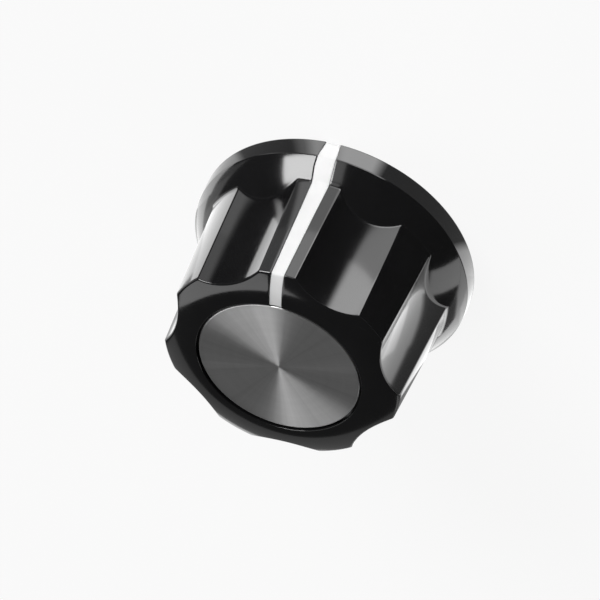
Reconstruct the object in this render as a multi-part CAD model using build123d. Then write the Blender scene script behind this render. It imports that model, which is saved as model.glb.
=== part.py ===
from build123d import *
import os
from math import cos, pi, radians, sin, sqrt, tan

# Potentiometer knob: a fluted, skirted moulding with a metal disc in its top face, a filled pointer
# line, and a metal bush with a set screw inside. All sizes are in millimetres and degrees.
# The knob turns about Z, its rim stands on Z = 0, and the pointer line faces -Y.

# Skirt: a short upright rim band, and a flare that rises from it to the grip.
skirt_diameter = 24.5
rim_height = 1.8
rim_edge_chamfer = 0.08
skirt_overhang = 1.25
flare_rise = 1.9
flare_radius = 12.0

# Grip: a cone of seven lands with a concave flute between each two.
overall_height = 15.1
flute_count = 7
land_draft = 2.6
flute_draft = 3.0
flute_depth = 1.06
flute_radius = 8.0
grip_corner_radius = 0.2
grip_foot_radius = 0.3

# Top ring: domed down from the disc's recess to the scalloped edge.
top_ring_width = 3.17
top_ring_drop = 0.76

# Spun disc, loose in its recess by the gap and just below the ring's crest by the sink.
disc_thickness = 0.5
disc_gap = 0.2
disc_sink = 0.12
disc_edge_chamfer = 0.08

# Pointer line: a groove that widens towards the skirt, filled to just below the surface.
pointer_width_top = 1.22
pointer_width_base = 1.8
groove_depth = 0.45
filling_sink = 0.1

# Underside: a tapered pocket that clears the nut on the control's threaded neck.
rim_wall = 1.55
pocket_wall = 1.65
pocket_depth = 4.4

# Bush: a metal insert, knurled and grooved where the moulding grips it.
bore_radius = 3.2
bush_wall = 1.7
bush_stand_out = 0.15
bush_chamfer = 0.3
top_web = 2.2
knurl_count = 24
knurl_depth = 0.25
lock_groove_width = 1.0
lock_groove_depth = 0.6
lock_groove_from_top = 1.2

# Set screw: a grub screw with a hexagon socket and a cup point, opposite the pointer.
screw_radius = 1.75
screw_floor = 1.3
screw_sink = 1.6
screw_tip_gap = 0.15
thread_clearance = 0.03
screw_hole_clearance = 0.2
socket_across_flats = 1.6
socket_depth = 1.9
cup_radius = 0.9
screw_chamfer = 0.35

# Places that follow from the sizes above.
rim_radius = skirt_diameter / 2
grip_base_radius = rim_radius - skirt_overhang
grip_base_height = rim_height + flare_rise
top_edge_height = overall_height - top_ring_drop
land_slope = tan(radians(land_draft))
grip_top_radius = grip_base_radius - (top_edge_height - grip_base_height) * land_slope
recess_radius = grip_top_radius - top_ring_width
dome_radius = (top_ring_width**2 + top_ring_drop**2) / (2 * top_ring_drop)
dome_centre = Vector(recess_radius, overall_height - dome_radius)
disc_radius = recess_radius - disc_gap
recess_floor = overall_height - disc_sink - disc_thickness
flute_slope = tan(radians(flute_draft))
flute_top_radius = grip_top_radius - flute_depth
bush_radius = bore_radius + bush_wall
bush_bottom = pocket_depth - bush_stand_out
bush_top = recess_floor - top_web
screw_hole_radius = screw_radius + screw_hole_clearance
screw_height = pocket_depth + screw_floor + screw_hole_radius
pointer_angle = -90
screw_angle = pointer_angle + 180


def flute_bottom(height):
    """Distance from the knob's axis to the bottom of a flute at a height."""
    return flute_top_radius + (top_edge_height - height) * flute_slope


def flare_centre():
    """Centre of the flare's arc, which passes the rim's edge and the foot of the lands."""
    outer = Vector(rim_radius, rim_height)
    inner = Vector(grip_base_radius, grip_base_height)
    chord = inner - outer
    reach = sqrt(flare_radius**2 - (chord.length / 2) ** 2)
    inward = Vector(-chord.Y, chord.X).normalized()
    return (outer + inner) / 2 + inward * reach


def flare_height(radius):
    """Height of the flare's surface at a distance from the axis."""
    centre = flare_centre()
    return centre.Y + sqrt(flare_radius**2 - (radius - centre.X) ** 2)


def way_out(start, direction, centre, radius):
    """Point where a line that starts inside a circle leaves it."""
    offset_to_centre = centre - start
    along = offset_to_centre.dot(direction)
    aside = offset_to_centre.length**2 - along**2
    return start + direction * (along + sqrt(radius**2 - aside))


def arc_between(start, end, centre, radius):
    """Arc of a circle from one of its points to another, by the short way."""
    middle = centre + ((start + end) / 2 - centre).normalized() * radius
    return ThreePointArc(start, middle, end)


def half_section(foot, sink):
    """Half section of the unfluted knob, all its outer faces sunk by the same depth."""
    rim_foot = Vector(rim_radius - sink, foot)
    rim_top = way_out(rim_foot, Vector(0, 1), flare_centre(), flare_radius - sink)
    up_the_land = Vector(-land_slope, 1).normalized()
    land = Vector(grip_base_radius, grip_base_height) + Vector(-up_the_land.Y, up_the_land.X) * sink
    land_foot = way_out(land, up_the_land, flare_centre(), flare_radius - sink)
    land_top = way_out(land, up_the_land, dome_centre, dome_radius - sink)
    crest = dome_centre + Vector(0, dome_radius - sink)
    lines = [
        Line((0, foot), rim_foot),
        Line(rim_foot, rim_top),
        arc_between(rim_top, land_foot, flare_centre(), flare_radius - sink),
        Line(land_foot, land_top),
        arc_between(land_top, crest, dome_centre, dome_radius - sink),
        Line(crest, (0, crest.Y)),
        Line((0, crest.Y), (0, foot)),
    ]
    return make_face(Plane.XZ * Wire(lines))


def turned(lines):
    """Solid turned from the outline of its half section, with its seam under the pointer line."""
    return Rot(0, 0, pointer_angle) * revolve(make_face(Plane.XZ * Wire(lines)), Axis.Z)


def edges_between(shape, lowest, highest):
    """Edges whose middles lie between two heights."""
    return [edge for edge in shape.edges() if lowest < edge.center().Z < highest]


def skirt_core():
    """The rim band and the flare, which runs on inside the grip."""
    inner_radius = flute_bottom(grip_base_height) - pocket_wall / 2
    rim_top = Vector(rim_radius, rim_height)
    inner_edge = Vector(inner_radius, flare_height(inner_radius))
    lines = [
        Line((0, 0), (rim_radius, 0)),
        Line((rim_radius, 0), rim_top),
        arc_between(rim_top, inner_edge, flare_centre(), flare_radius),
        Line(inner_edge, (0, inner_edge.Y)),
        Line((0, inner_edge.Y), (0, 0)),
    ]
    core = turned(lines)
    rim_edges = [edge for edge in core.edges() if edge.length > 2 * pi * grip_base_radius]
    return chamfer(rim_edges, rim_edge_chamfer)


def fluted_grip():
    """The cone of lands and flutes under the domed ring, its foot inside the skirt, its corners rounded."""
    foot_radius = grip_base_radius + flare_rise * land_slope
    land_top = Vector(grip_top_radius, top_edge_height)
    crest = Vector(recess_radius, overall_height)
    lines = [
        Line((0, rim_height), (foot_radius, rim_height)),
        Line((foot_radius, rim_height), land_top),
        arc_between(land_top, crest, dome_centre, dome_radius),
        Line(crest, (0, overall_height)),
        Line((0, overall_height), (0, rim_height)),
    ]
    grip = turned(lines)
    cutter = Cylinder(flute_radius, 2 * overall_height)
    cutter = Pos(flute_top_radius + flute_radius, 0, top_edge_height) * Rot(0, -flute_draft, 0) * cutter
    for index in range(flute_count):
        turn = pointer_angle + (index + 0.5) * 360 / flute_count
        grip -= Rot(0, 0, turn) * cutter
    lowest = rim_height + grip_corner_radius
    highest = top_edge_height - grip_corner_radius
    return fillet(edges_between(grip, lowest, highest), grip_corner_radius)


def fluted_blank():
    """The knob's outer form: the grip on its skirt, with the corner between them rounded."""
    blank = fluted_grip() + skirt_core()
    lowest = flare_height(grip_base_radius + grip_foot_radius)
    highest = flare_height(flute_bottom(grip_base_height) - grip_foot_radius)
    return fillet(edges_between(blank, lowest, highest), grip_foot_radius)


def nut_pocket():
    """The tapered hollow under the skirt."""
    floor_radius = flute_bottom(pocket_depth) - pocket_wall
    return Pos(0, 0, pocket_depth / 2) * Cone(rim_radius - rim_wall, floor_radius, pocket_depth)


def pointer_strip(upper_sink, lower_sink):
    """What lies between two depths under the surface along the pointer line."""
    reach = 4 * groove_depth
    half_top = pointer_width_top / 2
    half_base = pointer_width_base / 2
    corners = [
        (-half_base, 0),
        (half_base, 0),
        (half_top, top_edge_height),
        (half_top, overall_height + reach),
        (-half_top, overall_height + reach),
        (-half_top, top_edge_height),
    ]
    face = make_face(Plane.XZ * Polyline(*corners, close=True))
    wedge = extrude(face, rim_radius + reach, dir=(0, -1, 0))
    wedge -= Cylinder(recess_radius, 3 * overall_height)
    strip = wedge & revolve(half_section(-reach, upper_sink), Axis.Z)
    return strip - revolve(half_section(-reach, lower_sink), Axis.Z)


def bush_blank():
    """The bush without its bore: a straight-knurled bar with a locking groove near the top."""
    length = bush_top - bush_bottom
    corners = []
    for index in range(2 * knurl_count):
        radius = bush_radius if index % 2 == 0 else bush_radius - knurl_depth
        turn = pi * index / knurl_count
        corners.append((radius * cos(turn), radius * sin(turn)))
    bar = Pos(0, 0, bush_bottom) * extrude(make_face(Polyline(*corners, close=True)), length)
    neck_centre = bush_top - lock_groove_from_top - lock_groove_width / 2
    ring = Cylinder(2 * bush_radius, lock_groove_width)
    ring -= Cylinder(bush_radius - lock_groove_depth, lock_groove_width)
    return bar - Pos(0, 0, neck_centre) * ring


def along_screw(shape):
    """Turn a shape made along +X, from the knob's axis, to the set screw's place."""
    return Rot(0, 0, screw_angle) * Pos(0, 0, screw_height) * shape


def rod(radius, start, end):
    """A round rod along +X between two distances from the knob's axis."""
    return Pos((start + end) / 2, 0, 0) * Rot(0, 90, 0) * Cylinder(radius, end - start)


def knob_body():
    """The one-piece moulding."""
    body = fluted_blank() - nut_pocket()
    body -= bush_blank()
    recess_depth = overall_height - recess_floor
    body -= Pos(0, 0, recess_floor + recess_depth / 2) * Cylinder(recess_radius, recess_depth)
    body -= pointer_strip(-groove_depth, groove_depth)
    body -= along_screw(rod(screw_hole_radius, bore_radius, rim_radius))
    return body


def pointer_fill():
    """The filling in the pointer groove."""
    return pointer_strip(filling_sink, groove_depth)


def top_disc():
    """The spun disc, with a fine chamfer round its upper edge."""
    disc = Pos(0, 0, recess_floor + disc_thickness / 2) * Cylinder(disc_radius, disc_thickness)
    return chamfer(disc.edges().group_by(Axis.Z)[-1], disc_edge_chamfer)


def shaft_bush():
    """The bush, bored for the shaft and cross-drilled for the set screw."""
    length = bush_top - bush_bottom
    bush = bush_blank() - Pos(0, 0, bush_bottom + length / 2) * Cylinder(bore_radius, length)
    lead_in = Cone(bore_radius + bush_chamfer, bore_radius, bush_chamfer)
    bush -= Pos(0, 0, bush_bottom + bush_chamfer / 2) * lead_in
    bush -= along_screw(rod(screw_radius + thread_clearance, 0, 2 * bush_radius))
    return bush


def set_screw():
    """The grub screw, its point just clear of the bore and its socket facing out."""
    tip = bore_radius + screw_tip_gap
    head = flute_bottom(screw_height) - screw_sink
    screw = rod(screw_radius, tip, head)
    screw = chamfer(screw.edges().filter_by(GeomType.CIRCLE), screw_chamfer)
    cup = Pos(tip + cup_radius / 4, 0, 0) * Rot(0, 90, 0) * Cone(cup_radius, cup_radius / 2, cup_radius / 2)
    screw -= cup
    hexagon = RegularPolygon(socket_across_flats / 2, 6, major_radius=False)
    socket = extrude(Plane.YZ.offset(head - socket_depth) * hexagon, socket_depth)
    screw -= socket
    return along_screw(screw)


os.makedirs("parts", exist_ok=True)
nodes = {
    "knob_body": knob_body(),
    "pointer_fill": pointer_fill(),
    "top_disc": top_disc(),
    "shaft_bush": shaft_bush(),
    "set_screw": set_screw(),
}
for name, shape in nodes.items():
    export_step(shape, f"parts/{name}.step")
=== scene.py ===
from math import asin, cos, pi, radians, sin, sqrt, tan

import bmesh
import bpy
import numpy as np
from mathutils import Matrix, Vector


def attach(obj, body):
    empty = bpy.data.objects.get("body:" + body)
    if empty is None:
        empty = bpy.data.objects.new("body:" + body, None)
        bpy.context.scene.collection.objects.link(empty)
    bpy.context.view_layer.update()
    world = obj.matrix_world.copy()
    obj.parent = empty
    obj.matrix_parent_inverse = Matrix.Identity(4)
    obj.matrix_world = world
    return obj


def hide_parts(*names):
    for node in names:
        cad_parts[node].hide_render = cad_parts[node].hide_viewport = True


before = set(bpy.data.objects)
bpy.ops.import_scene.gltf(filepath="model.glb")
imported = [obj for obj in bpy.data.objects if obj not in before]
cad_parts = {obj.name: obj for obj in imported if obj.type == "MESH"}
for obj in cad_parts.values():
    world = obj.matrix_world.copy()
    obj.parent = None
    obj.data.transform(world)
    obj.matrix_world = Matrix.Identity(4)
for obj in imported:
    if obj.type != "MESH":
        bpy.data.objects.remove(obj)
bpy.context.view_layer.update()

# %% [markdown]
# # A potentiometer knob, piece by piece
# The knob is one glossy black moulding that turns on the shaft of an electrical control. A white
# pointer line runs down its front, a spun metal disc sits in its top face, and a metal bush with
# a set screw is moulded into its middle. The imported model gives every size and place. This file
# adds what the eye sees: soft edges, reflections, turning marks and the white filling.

MM = 0.001


# %% [markdown]
# ## The camera
# A product picture of a small part is taken from far away with a long lens, so that circles stay
# clean ellipses. The camera could be aimed with a tracking constraint, but three angles and a
# distance say the same thing plainly: how far round, how far up, and how far the camera is
# rolled. The roll is large here, because the picture was turned so that the knob leans left.

# %% Where the camera stands and how it is turned
aim = Vector((0.80, -0.28, 7.35)) * MM
camera_distance = 0.6744
camera_round = radians(-109.56)
camera_up = radians(40.41)
camera_roll = radians(-154.07)


def direction(bearing, height_angle):
    """Unit vector that points out at a bearing and a height angle, both in radians."""
    level = cos(height_angle)
    return Vector((level * cos(bearing), level * sin(bearing), sin(height_angle)))


backward = direction(camera_round, camera_up)
level_right = Vector((0, 0, 1)).cross(backward).normalized()
level_up = backward.cross(level_right)
right = level_right * cos(camera_roll) + level_up * sin(camera_roll)
up = level_up * cos(camera_roll) - level_right * sin(camera_roll)

# %% Place the camera
camera_data = bpy.data.cameras.new("product_camera")
# At this distance the lens takes in a field of 51 mm, about twice the knob's width.
camera_data.sensor_width = 36
camera_data.lens = 480
camera_data.clip_start = 0.01
camera_data.clip_end = 10
camera = bpy.data.objects.new("product_camera", camera_data)
axes = Matrix((right, up, backward)).transposed().to_4x4()
camera.matrix_world = Matrix.Translation(aim + backward * camera_distance) @ axes
bpy.context.scene.collection.objects.link(camera)
bpy.context.scene.camera = camera
print("camera at mm:", [round(v / MM, 1) for v in camera.location])

# %% [markdown]
# ## Meshes from rows of points
# Every piece here is a closed skin over a grid: rows of points that run along the piece, and
# columns that go across or around it. One helper joins neighbouring points into four-sided faces,
# so that each piece only has to say where its points are. Smooth shading then blends the faces,
# and edges stay soft because the rows crowd together where a corner is rounded.

# %% A helper that turns a grid of points into a mesh object
def grid_piece(name, points, first_pole=None, last_pole=None, cap_ends=False):
    """Mesh round points[row, column] in millimetres, closed by a pole or a cap at each end."""
    rows, columns = points.shape[:2]
    vertices = [tuple(p) for p in points.reshape(-1, 3) * MM]
    faces = []
    for row in range(rows - 1):
        here, above = row * columns, (row + 1) * columns
        for c in range(columns):
            n = (c + 1) % columns
            faces.append((here + c, here + n, above + n, above + c))
    top = (rows - 1) * columns
    if first_pole is not None:
        vertices.append(tuple(v * MM for v in first_pole))
        pole = len(vertices) - 1
        faces += [(pole, (c + 1) % columns, c) for c in range(columns)]
    if last_pole is not None:
        vertices.append(tuple(v * MM for v in last_pole))
        pole = len(vertices) - 1
        faces += [(pole, top + c, top + (c + 1) % columns) for c in range(columns)]
    if cap_ends:
        faces.append(tuple(range(columns))[::-1])
        faces.append(tuple(top + c for c in range(columns)))
    mesh = bpy.data.meshes.new(name)
    mesh.from_pydata(vertices, [], faces)
    shell = bmesh.new()
    shell.from_mesh(mesh)
    bmesh.ops.recalc_face_normals(shell, faces=shell.faces)
    shell.to_mesh(mesh)
    shell.free()
    mesh.shade_smooth()
    piece = bpy.data.objects.new(name, mesh)
    bpy.context.scene.collection.objects.link(piece)
    triangles = sum(len(face.vertices) - 2 for face in mesh.polygons)
    print(name, len(mesh.vertices), "points,", triangles, "triangles")
    return piece


# %% [markdown]
# ## The moulding's section
# The moulding is pressed from a black phenolic resin in a polished tool. Cut through its middle it
# shows a rim band, a flare, a nearly upright grip, a domed top ring, a shallow recess for the
# disc, and a hollow underneath. A turned shape could be spun from one outline, but flutes are cut
# into the grip, so the outline has to change with the angle. The sizes are written once, and each
# outline is worked out from them.

# %% Sizes of the moulding in millimetres
rim_radius, rim_height = 12.25, 1.8
grip_base_radius, grip_base_height = 11.0, 3.7
top_edge_height, overall_height = 14.34, 15.1
land_draft, flute_draft = radians(2.6), radians(3.0)
land_slope, flute_slope = tan(land_draft), tan(flute_draft)
grip_top_radius = grip_base_radius - (top_edge_height - grip_base_height) * land_slope
flute_count, flute_radius, flute_depth = 7, 8.0, 1.06
flute_top_radius = grip_top_radius - flute_depth
sector = 2 * pi / flute_count
pointer_turn = -pi / 2
top_ring_width, top_ring_drop = 3.17, 0.76
recess_radius, recess_floor = grip_top_radius - top_ring_width, 14.48
pocket_depth, pocket_foot_radius, pocket_floor_radius = 4.4, 10.7, 8.33
# The resin fills the bush's knurl, so its hole is as wide as the knurl's valleys.
bush_hole_radius, bush_top = 4.64, 12.28
print("grip top radius", round(grip_top_radius, 3), "recess radius", round(recess_radius, 3))

# %% The arcs of the top ring and the flare
dome_radius = (top_ring_width**2 + top_ring_drop**2) / (2 * top_ring_drop)
dome_centre = np.array((recess_radius, overall_height - dome_radius))

# The flare is an arc of 12 mm radius through the top of the rim and the foot of the lands.
flare_radius = 12.0
rim_top = np.array((rim_radius, rim_height))
land_foot = np.array((grip_base_radius, grip_base_height))
chord = land_foot - rim_top
half_chord = np.hypot(*chord) / 2
inward = np.array((-chord[1], chord[0])) / (2 * half_chord)
flare_centre = (rim_top + land_foot) / 2 + inward * sqrt(flare_radius**2 - half_chord**2)
print("dome radius", round(dome_radius, 2), "flare centre", flare_centre.round(2))

# %% How far the grip's surface is from the axis
past_any_wall = 99.0
land_corner_softness = 0.08


def flute_wall(height, aside):
    """Distance to a flute's surface, at an angle from the middle of that flute."""
    # The round cutter leans by the draft, so a level cut through it is a slight ellipse.
    axis = flute_top_radius + flute_radius + (top_edge_height - height) * flute_slope
    stretch = cos(flute_draft)
    a = (cos(aside) * stretch) ** 2 + sin(aside) ** 2
    b = axis * stretch**2 * cos(aside)
    inside = b**2 - a * ((axis * stretch) ** 2 - flute_radius**2)
    return (b - sqrt(inside)) / a if inside > 0 else past_any_wall


def land_wall(height):
    """Distance to the conical lands at a height."""
    return grip_base_radius + (grip_base_height - height) * land_slope


def grip_wall(height, aside):
    """The nearer of land and flute, with the corner between them rounded."""
    land, flute = land_wall(height), flute_wall(height, aside)
    overlap = max(land_corner_softness - abs(land - flute), 0) / land_corner_softness
    return min(land, flute) - overlap**2 * land_corner_softness / 4


# %% Where land and flute meet
def crossing(rises, low, high, halvings=36):
    """Where a rising function passes nought, found by halving the range again and again."""
    for _ in range(halvings):
        middle = (low + high) / 2
        if rises(middle) < 0:
            low = middle
        else:
            high = middle
    return low


def land_half_angle(height):
    """Angle from the middle of a land to its corner."""
    def land_past_flute(aside):
        return land_wall(height) - flute_wall(height, sector / 2 - aside)
    return crossing(land_past_flute, 0.0, sector / 2, halvings=40)


corner_heights = np.linspace(grip_base_height, top_edge_height, 60)
corner_angles = np.array([land_half_angle(height) for height in corner_heights])
print("land half angle, foot and top:", np.degrees(corner_angles[[0, -1]]).round(2))


# %% [markdown]
# ## Where the columns run
# A picture of the grip shows crisp lines where land meets flute, and a groove with straight sides.
# If the columns ignored those lines, the corners would look nibbled. So each column is told what
# it follows: a share of the land, a share of the flute, or a fixed distance from the pointer
# line's middle. Its angle is then worked out afresh at every height.

# %% Columns that follow the lands and the flutes
# The shares crowd together at the corner between land and flute.
land_shares = (0.16, 0.34, 0.5, 0.64, 0.76, 0.85, 0.91, 0.945, 0.965, 0.98, 0.99, 1.0)
flute_shares = (0.006, 0.012, 0.019, 0.028, 0.04, 0.06, 0.09, 0.13, 0.18, 0.24, 0.3, 0.37, 0.44)
flute_shares += (0.51, 0.58, 0.65, 0.72, 0.79, 0.86, 0.93, 1.0)


def corner_angle(z):
    """Angle from the middle of a land to its corner, read off at any height."""
    return float(np.interp(z, corner_heights, corner_angles))


def land_column(side, share):
    """Angle from the middle of a land: a share of the way to its corner."""
    return lambda r, z: side * share * corner_angle(z)


def flute_column(side, share):
    """Angle from the middle of a land: past its corner, a share of the way to mid-flute."""
    return lambda r, z: side * (corner_angle(z) + share * (sector / 2 - corner_angle(z)))


# %% Columns that follow the pointer line
# The line isn't quite even, so each edge has its own distances from the middle, by height.
line_heights = (0.0, 1.5, 2.6, 3.7, 7.0, 14.34, 15.1)
line_edges = {
    1: (0.62, 0.78, 0.80, 0.66, 0.60, 0.52, 0.56),
    -1: (0.66, 0.84, 0.86, 0.86, 0.76, 0.61, 0.54),
}
groove_depth, groove_lip = 0.45, 0.09
# The groove ends at the recess. Closer in, the columns keep the angle that they have here.
line_turn_radius = 7.3


def line_column(side, share, beyond):
    """Angle that keeps a share of the way to the groove's edge, and a distance beyond it."""
    def angle(r, z):
        aside = share * np.interp(z, line_heights, line_edges[side]) + beyond
        return side * asin(aside / max(r, line_turn_radius))
    return angle


def beside_line_column(side, share):
    """Angle on the pointer's land: a share of the way from the groove to the land's corner."""
    groove = line_column(side, 1, groove_lip)

    def angle(r, z):
        return groove(r, z) + share * (side * corner_angle(z) - groove(r, z))
    return angle


# %% All columns in order round the knob
# Each step of the groove's wall is a distance beyond the edge and a depth below the surface.
groove_wall = ((0, 0.07), (0.008, 0.035), (0.025, 0.014), (0.05, 0.004), (groove_lip, 0))


def half_sector(side, grooved):
    """Columns from a land's middle to the middle of the flute beside it, as (angle, sink)."""
    columns = []
    if grooved:
        floor_places = ((0.35, 0), (0.7, 0), (1, -0.05))
        columns += [(line_column(side, *place), groove_depth) for place in floor_places]
        columns += [(line_column(side, 1, beyond), sink) for beyond, sink in groove_wall]
        columns += [(beside_line_column(side, share), 0) for share in land_shares]
    else:
        columns += [(land_column(side, share), 0) for share in land_shares]
    return columns + [(flute_column(side, share), 0) for share in flute_shares]


body_columns = []
for land in range(flute_count):
    grooved = land == 0
    turn = pointer_turn + land * sector
    one_side = [(turn, angle, sink) for angle, sink in reversed(half_sector(-1, grooved))]
    middle = (turn, land_column(1, 0), groove_depth if grooved else 0)
    other_side = [(turn, angle, sink) for angle, sink in half_sector(1, grooved)]
    # The flute's middle column belongs to both neighbours, so only one of them keeps it.
    body_columns += one_side[1:] + [middle] + other_side
print("columns round the moulding:", len(body_columns))


# %% [markdown]
# ## Soft corners from an average
# A moulded part has no knife edges, and on glossy black each rounded edge draws its own thin line
# of light. A bevel modifier would have to guess which edges to soften. Here the outline is walked
# as a path instead, and each point becomes the average of a short stretch of path around it.
# Straight runs stay straight, and each corner turns into a smooth bend as wide as the stretch.

# %% How soft each corner is, and where the rows lie
corner_names = ("bush_top", "bush_foot", "pocket_floor", "pocket_foot", "rim_foot", "rim_top",
                "grip_foot", "ring_edge", "recess_edge", "recess_foot")
soft_reach = (0.01, 0.04, 0.3, 0.06, 0.13, 0.08, 0.28, 0.2, 0.05, 0.01)
rows_between = (1, 1, 2, 2, 3, 14, 18, 14, 1)
# At a corner the rows lie at these shares of its reach. The runs between keep clear of them.
corner_rows = np.array((-1.25, -0.9, -0.62, -0.36, -0.12, 0.12, 0.36, 0.62, 0.9, 1.25))
clear_of_corner = 1.35
straight_reach = 0.01
window = (np.arange(24) + 0.5) / 12 - 1
print("softening in mm:", dict(zip(corner_names, soft_reach)))


# %% The sharp outline at one angle
def outline(angle, sink):
    """Sharp outline as (distance, height) points, with the numbers of its corner points."""
    def wall(z):
        aside = sector / 2 - abs(angle(land_wall(z), z))
        return grip_wall(z, aside) - sink

    def flare(r):
        return flare_centre[1] + sqrt((flare_radius - sink) ** 2 - (r - flare_centre[0]) ** 2)

    def dome(r):
        return dome_centre[1] + sqrt((dome_radius - sink) ** 2 - (r - dome_centre[0]) ** 2)

    foot = crossing(lambda z: z - flare(wall(z)), 3.0, 8.0)
    edge = crossing(lambda z: z - dome(wall(z)), 13.5, overall_height)
    rim = rim_radius - sink
    points = [
        (bush_hole_radius, bush_top), (bush_hole_radius, pocket_depth),
        (pocket_floor_radius, pocket_depth), (pocket_foot_radius, 0.0),
        (rim, 0.0), (rim, flare(rim)),
    ]
    corners = list(range(len(points)))
    for run in (
        [(r, flare(r)) for r in np.linspace(rim, wall(foot), 24)[1:]],
        [(wall(z), z) for z in np.linspace(foot, edge, 40)[1:]],
        [(r, dome(r)) for r in np.linspace(wall(edge), recess_radius, 24)[1:]],
        [(recess_radius, recess_floor)],
    ):
        points += run
        corners.append(len(points) - 1)
    return np.array(points), corners


# %% The softened outline, and one column of points in space
def soft_section(angle, sink):
    """Rows of (distance, height) along one column, crowded and softened at the corners."""
    points, corners = outline(angle, sink)
    along = np.concatenate(([0], np.cumsum(np.hypot(*np.diff(points, axis=0).T))))
    places, reaches = [], []
    last = len(corners) - 1
    for k, corner in enumerate(corners):
        here, reach = along[corner], soft_reach[k]
        around = here + reach * corner_rows if 0 < k < last else np.array([here])
        places += list(around)
        reaches += [reach] * len(around)
        if k < last:
            start = here + clear_of_corner * reach
            end = along[corners[k + 1]] - clear_of_corner * soft_reach[k + 1]
            between = np.linspace(start, end, rows_between[k] + 2)[1:-1]
            places += list(between)
            reaches += [straight_reach] * len(between)
    spots = np.array(places)[:, None] + np.array(reaches)[:, None] * window
    return np.stack([np.interp(spots, along, points[:, i]).mean(1) for i in (0, 1)], axis=1)


def column_points(turn, angle, sink):
    """One column of points in space."""
    distances, levels = soft_section(angle, sink).T
    turns = np.array([turn + angle(r, z) for r, z in zip(distances, levels)])
    return np.stack([distances * np.cos(turns), distances * np.sin(turns), levels], axis=1)


# %% Make the moulding
grid = np.stack([column_points(*column) for column in body_columns], axis=1)
body = grid_piece("knob_moulding", grid, (0, 0, bush_top), (0, 0, recess_floor))


# %% [markdown]
# ## The set screw's hole
# A hole for the set screw runs in from the flute opposite the pointer, through the moulding to the
# bush. Drawing it into the grid would bend every column near it, so it is cut afterwards with a
# boolean, which leaves a crisp drilled edge as a core pin in the tool does.

# %% A drill the size of the hole
screw_height, screw_hole_radius = 7.65, 1.95
drill_start, drill_end = 4.0, 13.0


def turned_piece(name, outline_points, sides):
    """Closed turned piece from (distance, height) points, the first and last on the axis."""
    turns = np.linspace(0, 2 * pi, sides, endpoint=False)
    inner = outline_points[1:-1]
    points = np.array([[(r * cos(t), r * sin(t), z) for t in turns] for r, z in inner])
    first_pole, last_pole = [(0, 0, outline_points[end][1]) for end in (0, -1)]
    return grid_piece(name, points, first_pole, last_pole)


drill_outline = [(0, drill_start), (screw_hole_radius, drill_start),
                 (screw_hole_radius, drill_end), (0, drill_end)]
drill = turned_piece("drill", drill_outline, 96)
lay_down = Matrix.Rotation(radians(-90), 4, "X")
drill.data.transform(Matrix.Translation((0, 0, screw_height * MM)) @ lay_down)

# %% Cut the set screw's hole
cut = body.modifiers.new("screw_hole", "BOOLEAN")
cut.operation, cut.solver, cut.object = "DIFFERENCE", "EXACT", drill
bpy.context.view_layer.update()
with_hole = body.evaluated_get(bpy.context.evaluated_depsgraph_get())
drilled = bpy.data.meshes.new_from_object(with_hole)
body.modifiers.clear()
body.data = drilled
bpy.data.objects.remove(drill)
# Only edges sharper than 38 degrees stay crisp, such as the rim of the hole.
body.data.set_sharp_from_angle(angle=radians(38))
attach(body, "root")
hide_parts("knob_body")
print("moulding after drilling:", len(body.data.polygons), "faces")


# %% [markdown]
# ## The pointer line
# The line is a groove filled with white paint and wiped level. Paint shrinks as it dries and
# climbs a little up the groove's sides, so the filling is a thin strip with a shallow dip along
# its middle. A material could paint it onto the moulding, but a strip of its own has a real edge.

# %% The filling's section
# Each place is a share of the way to the groove's edge, a distance beyond it, and a depth.
fill_half = [
    (0, 0, 0.44), (1, -0.06, 0.43), (1, -0.012, 0.13), (1, -0.03, 0.105), (1, -0.08, 0.102),
    (0.75, 0, 0.108), (0.45, 0, 0.114), (0, 0, 0.118),
]
fill_loop = [(1, *place) for place in fill_half]
fill_loop += [(-1, *place) for place in reversed(fill_half[1:-1])]
fill_columns = [column_points(pointer_turn, line_column(side, share, beyond), sink)
                for side, share, beyond, sink in fill_loop]


def middle_row(corner):
    """Number of the row in the middle of a corner, where the end corners have one row each."""
    number = corner_names.index(corner)
    rows_at_corners = 1 + (number - 1) * len(corner_rows) + len(corner_rows) // 2
    return sum(rows_between[:number]) + rows_at_corners


# %% Fill the pointer groove
foot_row, crest_row = middle_row("rim_foot"), middle_row("recess_edge")
fill_grid = np.stack(fill_columns, axis=1)[foot_row:crest_row]
# The filling's foot stays a hair above the floor.
fill_grid[0, :, 2] = 0.02
filling = grid_piece("pointer_filling", fill_grid[:, ::-1], cap_ends=True)
filling.data.set_sharp_from_angle(angle=radians(50))
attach(filling, "root")
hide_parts("pointer_fill")


# %% [markdown]
# ## The spun disc
# The disc is punched from thin aluminium sheet and its face is spun against fine abrasive, which
# leaves rings far too fine to model. What can be modelled is the soft rolled edge and the slight
# waviness of the sheet, so it is turned as a lathe outline with more rings than a flat disc needs.

# %% Turn the disc
disc_gap, disc_top = 0.2, 14.98
disc_radius = recess_radius - disc_gap
upper_edge, lower_edge = 0.1, 0.04
wave_height, wave_rate = 0.0015, 2.4

ring_radii = np.linspace(disc_radius - 0.16, 0.25, 26)
disc_rings = [(r, disc_top - wave_height * (1 - cos(r * wave_rate))) for r in ring_radii]
disc_edge = [(disc_radius - upper_edge + upper_edge * sin(a),
              disc_top - upper_edge + upper_edge * cos(a)) for a in np.linspace(pi / 2, 0, 7)]
disc_outline = [(0, recess_floor), (disc_radius - lower_edge, recess_floor)]
disc_outline += [(disc_radius, recess_floor + lower_edge)]
disc_outline += disc_edge + disc_rings + [(0, disc_top)]
disc = turned_piece("spun_disc", disc_outline, 192)
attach(disc, "root")
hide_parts("top_disc")


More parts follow.
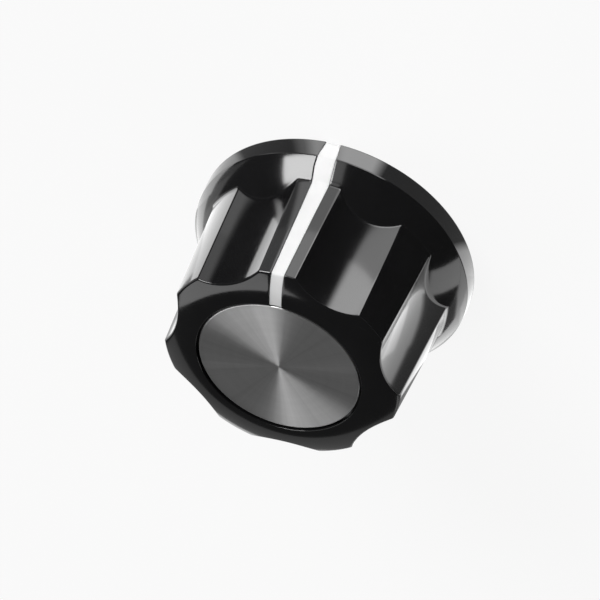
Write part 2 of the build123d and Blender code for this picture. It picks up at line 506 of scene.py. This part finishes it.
# %% [markdown]
# ## The set screw
# The set screw is a headless grub screw of blackened steel with a hexagon socket, a coned cup point
# and a metric thread of 0.6 mm pitch. The thread is a helix, so the distance from the screw's axis
# depends on both the place along it and the angle round it. One grid gives that in a single skin.

# %% Sizes of the screw in millimetres, and its surface
screw_radius, screw_tip, screw_head = 1.75, 3.35, 8.207
thread_pitch, thread_depth, end_depth = 0.6, 0.34, 0.38
cup_radius, cup_depth = 0.9, 0.45
socket_half, socket_depth, socket_point = 0.8, 1.9, 0.3
mouth_width, mouth_depth = 0.12, 0.1
screw_turns = np.linspace(0, 2 * pi, 48, endpoint=False)


def thread_radius(along, turn):
    """Distance from the screw's axis to its thread, which fades out at both ends."""
    phase = (along / thread_pitch - turn / (2 * pi)) % 1
    ridge = min(1, max(0, 1.15 - 2.6 * abs(phase - 0.5)))
    lead = min(along - screw_tip, screw_head - along)
    return min(screw_radius - thread_depth * (1 - ridge), screw_radius - end_depth + max(lead, 0))


def socket_radius(turn):
    """Distance from the screw's axis to the flat of the hexagon socket."""
    return socket_half / cos((turn + pi / 6) % (pi / 3) - pi / 6)


# %% Cut the thread, the cup and the socket
screw_rows = [[(cup_radius / 2, screw_tip + cup_depth, t) for t in screw_turns]]
screw_rows.append([(cup_radius, screw_tip, t) for t in screw_turns])
for place in np.linspace(screw_tip, screw_head, 90):
    screw_rows.append([(thread_radius(place, t), place, t) for t in screw_turns])
for wider, deep in ((mouth_width, 0), (0, mouth_depth), (0, socket_depth)):
    screw_rows.append([(socket_radius(t) + wider, screw_head - deep, t) for t in screw_turns])

screw_grid = np.array([[(r * cos(t), place, screw_height + r * sin(t)) for r, place, t in row]
                       for row in screw_rows])
cup_bottom = (0, screw_tip + cup_depth, screw_height)
socket_bottom = (0, screw_head - socket_depth - socket_point, screw_height)
screw = grid_piece("set_screw_thread", screw_grid[:, ::-1], cup_bottom, socket_bottom)
screw.data.set_sharp_from_angle(angle=radians(32))
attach(screw, "root")
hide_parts("set_screw")


# %% [markdown]
# ## Colours and nodes
# Colours are written as the hex values that a paint chart or a picture editor shows, and shaders
# need linear light, so one function turns the one into the other. Another adds a node together
# with its settings and its links, which keeps each material short enough to read in one go.
# Texture space is in metres, so the scale of a pattern is written as how many of it lie in a
# millimetre of the real surface, divided by MM.

# %% Helpers for materials
def linear(hex_colour):
    """Linear RGBA from an sRGB hex colour."""
    shares = [int(hex_colour[i:i + 2], 16) / 255 for i in (1, 3, 5)]
    return [v / 12.92 if v <= 0.04045 else ((v + 0.055) / 1.055) ** 2.4 for v in shares] + [1.0]


def add(tree, kind, settings=None, **inputs):
    """Add a node. Settings name its properties; inputs are values, or sockets to link from.

    An input is given by its name, or by its number after an underscore, as in _6."""
    node = tree.nodes.new(kind)
    for name, value in (settings or {}).items():
        setattr(node, name, value)
    for name, value in inputs.items():
        key = int(name[1:]) if name[0] == "_" else name.replace("_", " ")
        if isinstance(value, bpy.types.NodeSocket):
            tree.links.new(value, node.inputs[key])
        else:
            node.inputs[key].default_value = value
    return node


def new_material(name):
    """New node material, with its tree and its Principled shader."""
    material = bpy.data.materials.new(name)
    material.use_nodes = True
    tree = material.node_tree
    return material, tree, tree.nodes["Principled BSDF"]


# %% [markdown]
# ## Polished black phenolic
# Phenolic resin, one of the first plastics, is pressed hot in a chromed tool. It comes out jet
# black, with a hard gloss like varnish. Up close the gloss is not perfect: the surface swells and
# dips by about a thousandth of a millimetre over a few millimetres, and fingers and dust leave
# faint cloudy patches. Both only show in reflections, so they go into roughness and bump.

# %% Material of the moulding
phenolic, tree, shader = new_material("phenolic_compression_moulded_polished")
shader.inputs["IOR"].default_value = 1.6
place = add(tree, "ShaderNodeTexCoord").outputs["Object"]
# Clouds lie about 4 mm apart. The specks stand for dust of a few hundredths of a millimetre,
# drawn 0.1 mm wide so that they show.
cloud = add(tree, "ShaderNodeTexNoise", Vector=place, Scale=0.26 / MM, Detail=3.0, Roughness=0.6)
speck = add(tree, "ShaderNodeTexNoise", Vector=place, Scale=9 / MM, Detail=2.0, Roughness=0.5)
# A map range node takes what lies between its inputs 1 and 2 to between its inputs 3 and 4.
tint = add(tree, "ShaderNodeMapRange", Value=cloud.outputs["Fac"], _1=0.35, _2=0.7)
base = add(tree, "ShaderNodeMix", {"data_type": "RGBA"},
           _0=tint.outputs[0], _6=linear("#101011"), _7=linear("#141415"))
tree.links.new(base.outputs[2], shader.inputs["Base Color"])
haze = add(tree, "ShaderNodeMapRange", Value=cloud.outputs["Fac"],
           _1=0.3, _2=0.75, _3=0.085, _4=0.125)
tree.links.new(haze.outputs[0], shader.inputs["Roughness"])
swell = add(tree, "ShaderNodeBump", Height=cloud.outputs["Fac"],
            Strength=0.05, Distance=0.02 * MM)
grain = add(tree, "ShaderNodeBump", Height=speck.outputs["Fac"],
            Strength=0.03, Distance=0.002 * MM, Normal=swell.outputs[0])
tree.links.new(grain.outputs[0], shader.inputs["Normal"])
body.data.materials.clear()
body.data.materials.append(phenolic)
print(body.name, "is", phenolic.name)


# %% [markdown]
# ## White filling paint
# The line is filled with a thick white enamel that dries half matt. Its pigment is never quite
# even, so the white varies by a shade, and the wiped surface is very slightly rippled.

# %% Material of the line
paint, tree, shader = new_material("enamel_filling_paint_wiped")
shader.inputs["IOR"].default_value = 1.5
place = add(tree, "ShaderNodeTexCoord").outputs["Object"]
# The patches are about as wide as the line, 1.4 mm.
patch = add(tree, "ShaderNodeTexNoise", Vector=place, Scale=0.7 / MM, Detail=3.0)
shade = add(tree, "ShaderNodeMix", {"data_type": "RGBA"},
            _0=patch.outputs["Fac"], _6=linear("#F3F3F3"), _7=linear("#FBFBFB"))
tree.links.new(shade.outputs[2], shader.inputs["Base Color"])
dull = add(tree, "ShaderNodeMapRange", Value=patch.outputs["Fac"], _3=0.38, _4=0.5)
tree.links.new(dull.outputs[0], shader.inputs["Roughness"])
ripple = add(tree, "ShaderNodeBump", Height=patch.outputs["Fac"],
             Strength=0.15, Distance=0.03 * MM)
tree.links.new(ripple.outputs[0], shader.inputs["Normal"])
filling.data.materials.append(paint)
print(filling.name, "is", paint.name)


# %% [markdown]
# ## Spun aluminium
# Turning marks are grooves that run round the centre. Light that strikes them spreads across the
# grooves and hardly along them, so a round lamp shows as a wedge that points at the centre. The
# anisotropic part of the shader does that when its tangent runs round the axis, and fine rings in
# roughness and bump break the wedge into streaks. Real rings are about 0.01 mm apart, which is
# finer than a pixel, so they are drawn 0.05 to 0.1 mm apart.

# %% A helper for turned surfaces
def turned_place(tree):
    """Sockets for a turned surface: the point, the point at height nought, and its distance
    from the axis and height."""
    point = add(tree, "ShaderNodeTexCoord").outputs["Object"]
    parts = add(tree, "ShaderNodeSeparateXYZ", Vector=point).outputs
    flat = add(tree, "ShaderNodeCombineXYZ", X=parts[0], Y=parts[1]).outputs[0]
    distance = add(tree, "ShaderNodeVectorMath", {"operation": "LENGTH"}, _0=flat)
    return point, flat, distance.outputs["Value"], parts[2]


# %% Colour of the disc
aluminium, tree, shader = new_material("aluminium_spun_clear_anodised")
shader.inputs["Metallic"].default_value = 1.0
_, flat_place, distance, _ = turned_place(tree)
ring_line = add(tree, "ShaderNodeCombineXYZ", X=distance)
# Bands 0.7 mm wide, where the abrasive pressed a little harder.
bands = add(tree, "ShaderNodeTexNoise", Vector=ring_line.outputs[0], Scale=1.5 / MM, Detail=2.0)
metal = add(tree, "ShaderNodeMix", {"data_type": "RGBA"},
            _0=bands.outputs["Fac"], _6=linear("#D6D6D6"), _7=linear("#E4E4E4"))
# A direction without a length gives streaks that run out from the centre, as uneven pressure does.
outward = add(tree, "ShaderNodeVectorMath", {"operation": "NORMALIZE"}, _0=flat_place)
spokes = add(tree, "ShaderNodeTexNoise", Vector=outward.outputs[0],
             Scale=9.0, Detail=4.0, Roughness=0.6)
streak = add(tree, "ShaderNodeMapRange", Value=spokes.outputs["Fac"],
             _1=0.45, _2=0.75, _3=0.0, _4=0.3)
streaked = add(tree, "ShaderNodeMix", {"data_type": "RGBA"},
               _0=streak.outputs[0], _6=metal.outputs[2], _7=linear("#B4B4B4"))
tree.links.new(streaked.outputs[2], shader.inputs["Base Color"])

# %% Turning marks of the disc
# Twelve rings to a millimetre, coarser than the real ones so that they show.
rings = add(tree, "ShaderNodeTexNoise", Vector=ring_line.outputs[0],
            Scale=12 / MM, Detail=3.0, Roughness=0.7)
spread = add(tree, "ShaderNodeMapRange", Value=rings.outputs["Fac"],
             _1=0.3, _2=0.7, _3=0.28, _4=0.34)
tree.links.new(spread.outputs[0], shader.inputs["Roughness"])
groove = add(tree, "ShaderNodeBump", Height=rings.outputs["Fac"],
             Strength=0.1, Distance=0.003 * MM)
tree.links.new(groove.outputs[0], shader.inputs["Normal"])
# A quarter turn from the tangent spreads the light across the grooves.
round_axis = add(tree, "ShaderNodeTangent", {"direction_type": "RADIAL", "axis": "Z"})
tree.links.new(round_axis.outputs[0], shader.inputs["Tangent"])
shader.inputs["Anisotropic"].default_value = 0.95
shader.inputs["Anisotropic Rotation"].default_value = 0.25
disc.data.materials.append(aluminium)
print(disc.name, "is", aluminium.name)


# %% [markdown]
# ## Turned brass and blackened steel
# Both are metals that only show from below or through the screw's hole. The bush is turned from
# brass bar, which leaves fine rings on its end face. The screw is steel with a black oxide
# finish, dark and slightly mottled. A plain colour would do for pieces so hidden, but a reader who
# turns the knob over should find the real metals.

# %% Material of the bush
brass, tree, shader = new_material("brass_turned")
shader.inputs["Metallic"].default_value = 1.0
place, _, distance, level = turned_place(tree)
ring_line = add(tree, "ShaderNodeCombineXYZ", X=distance, Z=level)
# The tool leaves a ring every 0.2 mm, coarse enough to show. Stains are about 3 mm wide.
rings = add(tree, "ShaderNodeTexNoise", Vector=ring_line.outputs[0], Scale=5 / MM, Detail=3.0)
stain = add(tree, "ShaderNodeTexNoise", Vector=place, Scale=0.3 / MM, Detail=3.0)
colour = add(tree, "ShaderNodeMix", {"data_type": "RGBA"},
             _0=stain.outputs["Fac"], _6=linear("#C9A15A"), _7=linear("#DDB976"))
tree.links.new(colour.outputs[2], shader.inputs["Base Color"])
spread = add(tree, "ShaderNodeMapRange", Value=rings.outputs["Fac"], _3=0.2, _4=0.38)
tree.links.new(spread.outputs[0], shader.inputs["Roughness"])
marks = add(tree, "ShaderNodeBump", Height=rings.outputs["Fac"],
            Strength=0.4, Distance=0.01 * MM)
tree.links.new(marks.outputs[0], shader.inputs["Normal"])
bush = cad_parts["shaft_bush"]
bush.data.materials.clear()
bush.data.materials.append(brass)
print(bush.name, "is", brass.name)

# %% Material of the screw
steel, tree, shader = new_material("steel_black_oxide")
shader.inputs["Metallic"].default_value = 1.0
place = add(tree, "ShaderNodeTexCoord").outputs["Object"]
# The oxide is mottled in spots of 0.4 mm.
mottle = add(tree, "ShaderNodeTexNoise", Vector=place, Scale=2.5 / MM, Detail=4.0)
colour = add(tree, "ShaderNodeMix", {"data_type": "RGBA"},
             _0=mottle.outputs["Fac"], _6=linear("#2B2C2F"), _7=linear("#4A4A4C"))
tree.links.new(colour.outputs[2], shader.inputs["Base Color"])
spread = add(tree, "ShaderNodeMapRange", Value=mottle.outputs["Fac"], _3=0.32, _4=0.5)
tree.links.new(spread.outputs[0], shader.inputs["Roughness"])
pits = add(tree, "ShaderNodeBump", Height=mottle.outputs["Fac"],
           Strength=0.3, Distance=0.01 * MM)
tree.links.new(pits.outputs[0], shader.inputs["Normal"])
screw.data.materials.append(steel)
print(screw.name, "is", steel.name)


# %% [markdown]
# ## The floor
# The knob stands on a white paper sweep. Brightening a sweep with more lamps would wash out the
# knob as well, so the paper shows its white by itself to the camera and to mirrors, and a tenth of
# what they see is still lit paper, which keeps the knob's soft shadow.

# %% The floor's sheet
floor_half, floor_height = 1.5, -0.02 * MM
floor_corners = [(x * floor_half, y * floor_half, floor_height)
                 for x, y in ((-1, -1), (1, -1), (1, 1), (-1, 1))]
floor_mesh = bpy.data.meshes.new("floor")
floor_mesh.from_pydata(floor_corners, [], [(0, 1, 2, 3)])
floor = bpy.data.objects.new("floor", floor_mesh)
bpy.context.scene.collection.objects.link(floor)

# %% Material of the floor
own_white = 0.9
paper, tree, shader = new_material("white_paper_sweep")
shader.inputs["Roughness"].default_value = 0.9
shader.inputs["Specular IOR Level"].default_value = 0.1
place = add(tree, "ShaderNodeTexCoord").outputs["Object"]
# Fibres are drawn as clumps of about 1 mm, since single ones are too fine to show.
fibre = add(tree, "ShaderNodeTexNoise", Vector=place, Scale=0.9 / MM, Detail=2.0)
tone = add(tree, "ShaderNodeMix", {"data_type": "RGBA"},
           _0=fibre.outputs["Fac"], _6=linear("#F8F8F8"), _7=linear("#FCFCFC"))
tree.links.new(tone.outputs[2], shader.inputs["Base Color"])
ray = add(tree, "ShaderNodeLightPath")
seen = add(tree, "ShaderNodeMath", {"operation": "MAXIMUM"},
           _0=ray.outputs["Is Camera Ray"], _1=ray.outputs["Is Glossy Ray"])
seen = add(tree, "ShaderNodeMath", {"operation": "MAXIMUM"},
           _0=seen.outputs[0], _1=ray.outputs["Is Transmission Ray"])
share = add(tree, "ShaderNodeMath", {"operation": "MULTIPLY"}, _0=seen.outputs[0], _1=own_white)
white = add(tree, "ShaderNodeEmission", Color=(1, 1, 1, 1), Strength=1.0)
blend = add(tree, "ShaderNodeMixShader",
            _0=share.outputs[0], _1=shader.outputs[0], _2=white.outputs[0])
tree.links.new(blend.outputs[0], tree.nodes["Material Output"].inputs["Surface"])
floor.data.materials.append(paper)
print(floor.name, "is", paper.name)


# %% [markdown]
# ## The room and the soft boxes
# Black gloss shows hardly any light of its own. What it shows is the studio: pale where a soft box
# is mirrored and black where the room is dark. So the room stays dim, and each soft box is placed
# by where its reflection should fall. A low box in front makes the white patch on the flare, a
# high one at the side makes the wedge of light on the spun disc, and the others are fainter.

# %% The dim room
world = bpy.data.worlds.new("studio")
bpy.context.scene.world = world
world.use_nodes = True
background = world.node_tree.nodes["Background"]
background.inputs["Color"].default_value = (1, 1, 1, 1)
background.inputs["Strength"].default_value = 0.07


# %% The soft boxes
def soft_box(name, bearing, height_angle, width, height, strength):
    """Area lamp a metre off, facing the knob. Angles in degrees, strength as a mirror sees it."""
    lamp = bpy.data.lights.new(name, "AREA")
    lamp.shape, lamp.size, lamp.size_y = "RECTANGLE", width, height
    lamp.energy = strength * pi * width * height
    lamp_object = bpy.data.objects.new(name, lamp)
    out = direction(radians(bearing), radians(height_angle))
    lamp_object.location = out
    lamp_object.rotation_euler = out.to_track_quat("Z", "Y").to_euler()
    bpy.context.scene.collection.objects.link(lamp_object)
    print(name, "power in watts:", round(lamp.energy, 2))


soft_box("front_box", bearing=-61, height_angle=21, width=0.58, height=0.38, strength=11.5)
soft_box("front_spill", bearing=-85, height_angle=21, width=0.17, height=0.38, strength=1.2)
soft_box("high_side_box", bearing=24, height_angle=53, width=0.48, height=0.75, strength=1.7)
soft_box("low_side_box", bearing=153, height_angle=12, width=0.33, height=0.46, strength=1.9)
soft_box("grey_wall", bearing=82, height_angle=12, width=1.25, height=0.61, strength=0.33)
soft_box("white_strip", bearing=119, height_angle=18, width=0.20, height=0.55, strength=0.8)


# %% [markdown]
# ## Cards that only mirrors see
# The upright walls of the knob mirror the floor close to it. A photographer lays black and white
# cards there, so that some flutes turn black and others bright. Cards in view would spoil the
# white floor, so here three flat rings of card lie round the knob and only mirror rays see them.
# The inner ring shows in the rim band, the middle one in the grip and the outer one in the flare.
# One straight card at the side gives the flute left of the pointer its narrow bright stripe.

# %% A flat card
def card(name, points, faces, strength=1.0):
    """Flat glowing sheet that only mirror rays see. Returns its node tree and its glow."""
    mesh = bpy.data.meshes.new(name)
    mesh.from_pydata([tuple(v * MM for v in point) for point in points], [], faces)
    sheet = bpy.data.objects.new(name, mesh)
    bpy.context.scene.collection.objects.link(sheet)
    sheet.visible_camera = sheet.visible_diffuse = False
    sheet.visible_shadow = sheet.visible_transmission = False
    material, tree, shader = new_material(name)
    tree.nodes.remove(shader)
    glow = add(tree, "ShaderNodeEmission", Strength=strength)
    tree.links.new(glow.outputs[0], tree.nodes["Material Output"].inputs["Surface"])
    mesh.materials.append(material)
    return tree, glow


# %% A ring of cards
ring_height, ring_sides = 0.05, 96


def card_ring(name, inner, outer, cards, soft):
    """Ring of cards, each (start, end, strength) by bearing in degrees.

    The brightness changes from card to card over a span of soft degrees."""
    turns = np.linspace(0, 2 * pi, ring_sides, endpoint=False)
    points = [(r * cos(t), r * sin(t), ring_height) for r in (inner, outer) for t in turns]
    faces = []
    for i in range(ring_sides):
        n = (i + 1) % ring_sides
        faces.append((i, n, ring_sides + n, ring_sides + i))
    tree, glow = card(name, points, faces)
    place = add(tree, "ShaderNodeTexCoord").outputs["Object"]
    turn = add(tree, "ShaderNodeTexGradient", {"gradient_type": "RADIAL"}, Vector=place)
    ramp = add(tree, "ShaderNodeValToRGB", Fac=turn.outputs["Fac"])
    brightest = max(strength for _, _, strength in cards)
    stops = [(angle, strength / brightest) for start, end, strength in cards
             for angle in (start + soft / 2, end - soft / 2)]
    elements = ramp.color_ramp.elements
    while len(elements) < len(stops):
        elements.new(0.5)
    for element, (angle, value) in zip(elements, stops):
        element.position = (angle + 180) / 360
        element.color = (value, value, value, 1)
    tree.links.new(ramp.outputs["Color"], glow.inputs["Color"])
    glow.inputs["Strength"].default_value = brightest
    print(name, len(cards), "cards, the brightest", brightest)


# %% Lay out the cards
# Neighbouring rings share an edge, because a gap between them would be mirrored too.
rim_edge, grip_edge, flare_edge, far_edge = 12.3, 14.8, 23, 260
card_ring("inner_cards", rim_edge, grip_edge, [
    (-180, -163, 2.2), (-163, -111, 0.3), (-111, -93, 4.8), (-93, -80, 3.3), (-80, -74, 1.2),
    (-74, -44, 0.25), (-44, -20, 1.2), (-20, 150, 1.0), (150, 180, 2.0)], soft=5.0)
card_ring("middle_cards", grip_edge, flare_edge, [
    (-180, -116, 0.05), (-116, -97, 2.5), (-97, -73, 1.6), (-73, -60, 0.35), (-60, -51, 1.2),
    (-51, -20, 0.04), (-20, 20, 2.1), (20, 60, 1.2), (60, 100, 2.1), (100, 125, 0.3),
    (125, 146, 2.1), (146, 158, 3.0), (158, 170, 2.0), (170, 180, 0.3)], soft=1.6)
card_ring("outer_cards", flare_edge, far_edge, [
    (-180, -116, 0.05), (-116, -97, 5.0), (-97, -75, 2.6), (-75, -60, 0.6), (-60, -51, 1.0),
    (-51, -18, 0.05), (-18, -4, 0.4), (-4, 10, 0.7), (10, 30, 1.0), (30, 100, 1.7),
    (100, 140, 0.3), (140, 169, 2.0), (169, 180, 0.3)], soft=3.0)

# The side card lies just above the rings and covers them there.
side_height = 0.06
side_corners = [(x, y, side_height) for x, y in ((12.4, -9.3), (26, -9.3), (26, 0), (12.4, 0))]
card("side_card", side_corners, [(0, 1, 2, 3)], strength=2.6)

bpy.context.scene.view_settings.view_transform = "Standard"

# %% Update the scene and finish
bpy.context.view_layer.update()
